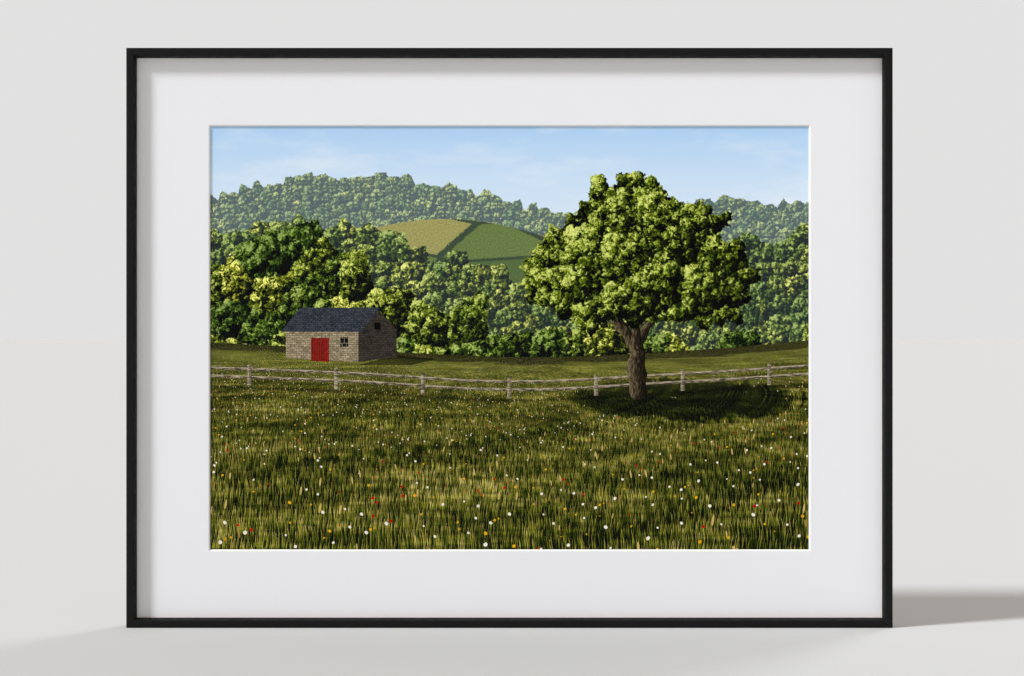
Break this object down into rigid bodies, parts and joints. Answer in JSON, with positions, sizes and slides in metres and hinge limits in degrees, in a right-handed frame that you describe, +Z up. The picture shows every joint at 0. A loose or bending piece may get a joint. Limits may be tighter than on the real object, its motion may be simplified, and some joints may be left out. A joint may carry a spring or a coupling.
{
  "type": "framed picture",
  "caption": "Slim black landscape picture frame with a white bevel-cut mat, a glazed landscape print, and a board back held by turn buttons with hanging rings.",
  "frame": {"origin": "middle of the bottom rail's underside, halfway through the moulding's depth", "axes": "+X to the right as the picture is seen, +Y to the back, +Z up"},
  "size_m": [0.7574, 0.0292, 0.5735],
  "materials": {
    "moulding": "satin",
    "glass": "polished",
    "mat": "matte",
    "print": "satin",
    "filler": "matte",
    "back": "matte",
    "zinc": "satin",
    "rubber": "matte"
  },
  "bodies": {
    "frame": {"rail_top": "moulding", "rail_bottom": "moulding", "rail_left": "moulding", "rail_right": "moulding", "glazing": "glass", "mat_board": "mat", "print_sheet": "print", "filler_board": "filler", "backing_board": "back", "hanger_left": "zinc", "hanger_right": "zinc", "wall_pad_top_left": "rubber", "wall_pad_bottom_left": "rubber", "wall_pad_top_right": "rubber", "wall_pad_bottom_right": "rubber", "screw_top_1": "zinc", "screw_top_2": "zinc", "screw_top_3": "zinc", "screw_top_4": "zinc", "screw_bottom_1": "zinc", "screw_bottom_2": "zinc", "screw_bottom_3": "zinc", "screw_bottom_4": "zinc", "screw_left_1": "zinc", "screw_left_2": "zinc", "screw_left_3": "zinc", "screw_right_1": "zinc", "screw_right_2": "zinc", "screw_right_3": "zinc"},
    "button_top_1": {"button_top_1": "zinc"},
    "button_top_2": {"button_top_2": "zinc"},
    "button_top_3": {"button_top_3": "zinc"},
    "button_top_4": {"button_top_4": "zinc"},
    "button_bottom_1": {"button_bottom_1": "zinc"},
    "button_bottom_2": {"button_bottom_2": "zinc"},
    "button_bottom_3": {"button_bottom_3": "zinc"},
    "button_bottom_4": {"button_bottom_4": "zinc"},
    "button_left_1": {"button_left_1": "zinc"},
    "button_left_2": {"button_left_2": "zinc"},
    "button_left_3": {"button_left_3": "zinc"},
    "button_right_1": {"button_right_1": "zinc"},
    "button_right_2": {"button_right_2": "zinc"},
    "button_right_3": {"button_right_3": "zinc"},
    "ring_left": {"ring_left": "zinc"},
    "ring_right": {"ring_right": "zinc"}
  },
  "joints": [
    {"name": "turn_top_1", "type": "hinge", "parent": "frame", "child": "button_top_1", "pos_m": [-0.285, 0.0129, 0.57025], "axis": [0, 1, 0], "range_deg": [-90, 90]},
    {"name": "turn_top_2", "type": "hinge", "parent": "frame", "child": "button_top_2", "pos_m": [-0.095, 0.0129, 0.57025], "axis": [0, 1, 0], "range_deg": [-90, 90]},
    {"name": "turn_top_3", "type": "hinge", "parent": "frame", "child": "button_top_3", "pos_m": [0.095, 0.0129, 0.57025], "axis": [0, 1, 0], "range_deg": [-90, 90]},
    {"name": "turn_top_4", "type": "hinge", "parent": "frame", "child": "button_top_4", "pos_m": [0.285, 0.0129, 0.57025], "axis": [0, 1, 0], "range_deg": [-90, 90]},
    {"name": "turn_bottom_1", "type": "hinge", "parent": "frame", "child": "button_bottom_1", "pos_m": [-0.285, 0.0129, 0.00275], "axis": [0, 1, 0], "range_deg": [-90, 90]},
    {"name": "turn_bottom_2", "type": "hinge", "parent": "frame", "child": "button_bottom_2", "pos_m": [-0.095, 0.0129, 0.00275], "axis": [0, 1, 0], "range_deg": [-90, 90]},
    {"name": "turn_bottom_3", "type": "hinge", "parent": "frame", "child": "button_bottom_3", "pos_m": [0.095, 0.0129, 0.00275], "axis": [0, 1, 0], "range_deg": [-90, 90]},
    {"name": "turn_bottom_4", "type": "hinge", "parent": "frame", "child": "button_bottom_4", "pos_m": [0.285, 0.0129, 0.00275], "axis": [0, 1, 0], "range_deg": [-90, 90]},
    {"name": "turn_left_1", "type": "hinge", "parent": "frame", "child": "button_left_1", "pos_m": [-0.37575, 0.0129, 0.0965], "axis": [0, 1, 0], "range_deg": [-90, 90]},
    {"name": "turn_left_2", "type": "hinge", "parent": "frame", "child": "button_left_2", "pos_m": [-0.37575, 0.0129, 0.2865], "axis": [0, 1, 0], "range_deg": [-90, 90]},
    {"name": "turn_left_3", "type": "hinge", "parent": "frame", "child": "button_left_3", "pos_m": [-0.37575, 0.0129, 0.4765], "axis": [0, 1, 0], "range_deg": [-90, 90]},
    {"name": "turn_right_1", "type": "hinge", "parent": "frame", "child": "button_right_1", "pos_m": [0.37575, 0.0129, 0.0965], "axis": [0, 1, 0], "range_deg": [-90, 90]},
    {"name": "turn_right_2", "type": "hinge", "parent": "frame", "child": "button_right_2", "pos_m": [0.37575, 0.0129, 0.2865], "axis": [0, 1, 0], "range_deg": [-90, 90]},
    {"name": "turn_right_3", "type": "hinge", "parent": "frame", "child": "button_right_3", "pos_m": [0.37575, 0.0129, 0.4765], "axis": [0, 1, 0], "range_deg": [-90, 90]},
    {"name": "swing_left", "type": "hinge", "parent": "frame", "child": "ring_left", "pos_m": [-0.23, 0.0147, 0.493], "axis": [1, 0, 0], "range_deg": [0, 180]},
    {"name": "swing_right", "type": "hinge", "parent": "frame", "child": "ring_right", "pos_m": [0.23, 0.0147, 0.493], "axis": [1, 0, 0], "range_deg": [0, 180]}
  ]
}
